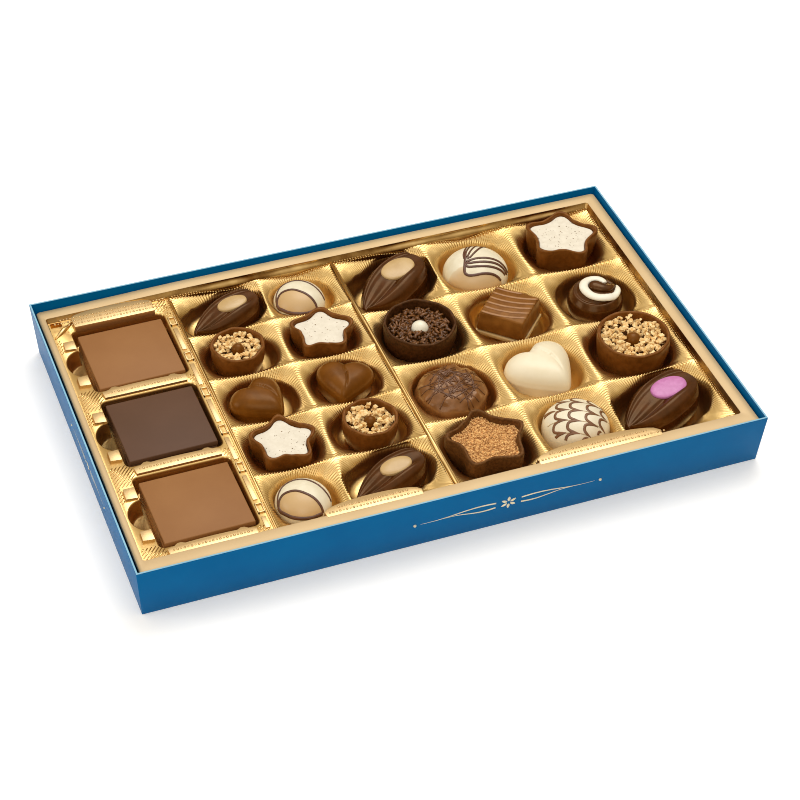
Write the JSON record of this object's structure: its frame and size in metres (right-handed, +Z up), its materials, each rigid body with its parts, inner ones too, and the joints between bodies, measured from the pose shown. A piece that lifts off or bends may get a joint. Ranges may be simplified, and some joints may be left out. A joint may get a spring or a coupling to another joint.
{
  "type": "box of chocolate pralines",
  "caption": "Open low box with a formed gold tray, stacks of thin square tablets and moulded pralines of many shapes, each in its own well.",
  "frame": {"origin": "centre of the box's base, on the surface it stands on", "axes": "+Z up, X along the box's long side, -Y towards the front wall"},
  "size_m": [0.2824, 0.1794, 0.027],
  "materials": {
    "blue_card": "printed card with a soft sheen",
    "gold_film": "metallised formed film",
    "milk_chocolate": "satin chocolate",
    "dark_chocolate": "glossy dark chocolate",
    "white_chocolate": "satin white chocolate",
    "beige_inlay": "satin caramel-coloured chocolate",
    "violet_inlay": "satin coloured chocolate",
    "chopped_nuts": "roasted chopped nuts",
    "crumb_filling": "fine caramel crumbs"
  },
  "bodies": {
    "root": {"box": "blue_card", "tray": "gold_film", "tablet_1_1": "milk_chocolate", "tablet_1_2": "milk_chocolate", "tablet_1_3": "milk_chocolate", "tablet_2_1": "dark_chocolate", "tablet_2_2": "dark_chocolate", "tablet_2_3": "dark_chocolate", "tablet_3_1": "milk_chocolate", "tablet_3_2": "milk_chocolate", "tablet_3_3": "milk_chocolate", "mini_leaf_1": "dark_chocolate", "mini_leaf_1_inlay": "beige_inlay", "mini_leaf_2": "dark_chocolate", "mini_leaf_2_inlay": "beige_inlay", "mini_dome_1": "white_chocolate", "mini_dome_2": "white_chocolate", "mini_nut_cup_1_shell": "milk_chocolate", "mini_nut_cup_1_bed": "chopped_nuts", "mini_nut_cup_1_ball": "milk_chocolate", "mini_nut_cup_2_shell": "milk_chocolate", "mini_nut_cup_2_bed": "chopped_nuts", "mini_nut_cup_2_ball": "milk_chocolate", "mini_star_1_shell": "milk_chocolate", "mini_star_1_filling": "white_chocolate", "mini_star_2_shell": "milk_chocolate", "mini_star_2_filling": "white_chocolate", "mini_heart_1": "milk_chocolate", "mini_heart_2": "milk_chocolate", "leaf_1": "dark_chocolate", "leaf_1_inlay": "beige_inlay", "leaf_2": "dark_chocolate", "leaf_2_inlay": "violet_inlay", "lined_dome": "white_chocolate", "white_star_shell": "milk_chocolate", "white_star_filling": "white_chocolate", "vermicelli_cup_shell": "dark_chocolate", "vermicelli_cup_bed": "dark_chocolate", "vermicelli_cup_ball": "white_chocolate", "square_plate": "beige_inlay", "square_block": "milk_chocolate", "swirl_body": "dark_chocolate", "swirl_ribbon": "white_chocolate", "milk_dome": "milk_chocolate", "white_heart": "white_chocolate", "nut_cup_shell": "milk_chocolate", "nut_cup_bed": "chopped_nuts", "nut_cup_ball": "milk_chocolate", "crumb_star_shell": "dark_chocolate", "crumb_star_filling": "crumb_filling", "feather_dome": "white_chocolate"}
  },
  "joints": []
}
